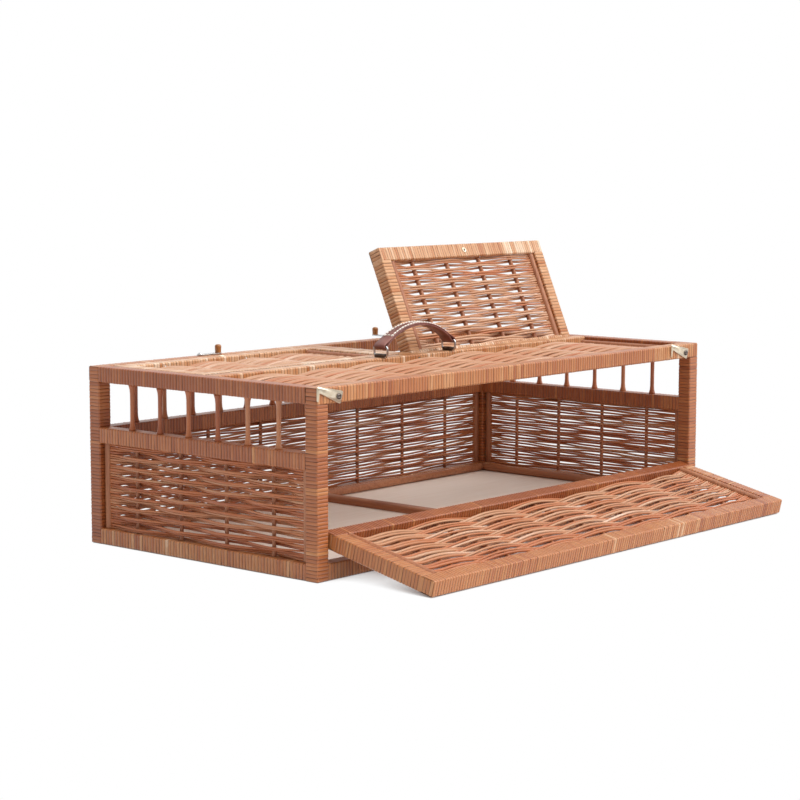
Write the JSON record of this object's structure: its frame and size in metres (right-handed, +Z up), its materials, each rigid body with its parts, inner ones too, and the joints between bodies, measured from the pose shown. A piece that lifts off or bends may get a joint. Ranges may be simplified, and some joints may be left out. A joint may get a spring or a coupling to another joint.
{
  "type": "wicker pigeon basket",
  "caption": "Long low wicker basket for carrying pigeons: cane-wrapped frame, woven walls under a row of spindles, drop-down front flap, hinged top lids and a leather handle.",
  "frame": {"origin": "on the ground, at the middle of the underside of the front bottom rail", "axes": "+X along the length to the right as seen from the front, +Y from the front to the back, +Z up"},
  "size_m": [0.8011, 0.5879, 0.3687],
  "materials": {
    "cane": "cane strip wound close on square bars, satin",
    "willow": "woven buff willow rods, satin",
    "peeled_rod": "peeled round rods, satin",
    "plywood": "sanded plywood, matt",
    "turned_wood": "turned and varnished wood",
    "leather": "brown strap leather, stitched in white",
    "brass": "pale brassed sheet",
    "steel": "bright plated wire and sheet",
    "dark_iron": "dark bent sheet"
  },
  "bodies": {
    "basket": {"post_front_left": "cane", "post_front_right": "cane", "post_back_left": "cane", "post_back_right": "cane", "bottom_rail_front": "cane", "bottom_rail_back": "cane", "bottom_rail_left": "cane", "bottom_rail_right": "cane", "spindle_rail_back": "cane", "spindle_rail_left": "cane", "spindle_rail_right": "cane", "top_rail_front": "cane", "top_rail_back": "cane", "top_rail_left": "cane", "top_rail_right": "cane", "middle_bar": "cane", "centre_strut": "cane", "weave_back": "willow", "weave_left": "willow", "weave_right": "willow", "weave_top": "willow", "floor_board_left": "plywood", "floor_board_right": "plywood", "floor_rod_left": "peeled_rod", "floor_rod_right": "peeled_rod", "floor_rod_back": "peeled_rod", "floor_strip": "peeled_rod", "hook_screw_left": "brass", "hook_screw_right": "brass", "latch_screw_left": "steel", "latch_screw_right": "steel", "handle_staple_left": "dark_iron", "handle_staple_right": "dark_iron"},
    "flap": {"flap_hinge_bar": "cane", "flap_free_bar": "cane", "flap_left_bar": "cane", "flap_right_bar": "cane", "flap_weave": "willow", "flap_stud_left": "brass", "flap_stud_right": "brass"},
    "lid_left": {"lid_left_hinge_bar": "cane", "lid_left_free_bar": "cane", "lid_left_outer_bar": "cane", "lid_left_inner_bar": "cane", "lid_left_weave": "willow"},
    "lid_right": {"lid_right_hinge_bar": "cane", "lid_right_free_bar": "cane", "lid_right_outer_bar": "cane", "lid_right_inner_bar": "cane", "lid_right_weave": "willow"},
    "hook_left": {"hook_left": "brass"},
    "hook_right": {"hook_right": "brass"},
    "latch_left": {"latch_left": "steel", "latch_knob_left": "turned_wood"},
    "latch_right": {"latch_right": "steel", "latch_knob_right": "turned_wood"},
    "ring_left": {"handle_ring_left": "steel"},
    "ring_right": {"handle_ring_right": "steel"},
    "strap": {"handle_strap": "leather"}
  },
  "joints": [
    {"name": "flap_hinge", "type": "hinge", "parent": "basket", "child": "flap", "pos_m": [0, -0.005, 0.041], "axis": [1, 0, 0], "range_deg": [-102.68, 0]},
    {"name": "lid_left_hinge", "type": "hinge", "parent": "basket", "child": "lid_left", "pos_m": [-0.195, 0.2075, 0.218], "axis": [1, 0, 0], "range_deg": [0, 90]},
    {"name": "lid_right_hinge", "type": "hinge", "parent": "basket", "child": "lid_right", "pos_m": [0.195, 0.2075, 0.218], "axis": [1, 0, 0], "range_deg": [-66.8, 23.2]},
    {"name": "hook_left_swivel", "type": "hinge", "parent": "basket", "child": "hook_left", "pos_m": [-0.365, -0.011, 0.216], "axis": [0, -1, 0], "range_deg": [-72, 108]},
    {"name": "hook_right_swivel", "type": "hinge", "parent": "basket", "child": "hook_right", "pos_m": [0.365, -0.011, 0.216], "axis": [0, -1, 0], "range_deg": [-72, 108]},
    {"name": "latch_left_swivel", "type": "hinge", "parent": "basket", "child": "latch_left", "pos_m": [-0.211, 0.382, 0.229], "axis": [0, 0, 1], "range_deg": [-90, 90]},
    {"name": "latch_right_swivel", "type": "hinge", "parent": "basket", "child": "latch_right", "pos_m": [0.179, 0.382, 0.229], "axis": [0, 0, 1], "range_deg": [-180, 0]},
    {"name": "ring_left_rock", "type": "hinge", "parent": "basket", "child": "ring_left", "pos_m": [-0.0705, 0.183, 0.2301], "axis": [0, 1, 0], "range_deg": [-50, 50]},
    {"name": "strap_rock", "type": "hinge", "parent": "ring_left", "child": "strap", "pos_m": [-0.0705, 0.183, 0.243], "axis": [0, 1, 0], "range_deg": [-50, 50]},
    {"name": "ring_right_rock", "type": "hinge", "parent": "basket", "child": "ring_right", "pos_m": [0.0705, 0.183, 0.2301], "axis": [0, 1, 0], "range_deg": [-50, 50]}
  ],
  "couplings": [
    {"joint": "strap_rock", "follows": "ring_left_rock", "ratio": -1},
    {"joint": "ring_right_rock", "follows": "ring_left_rock", "ratio": 1}
  ]
}
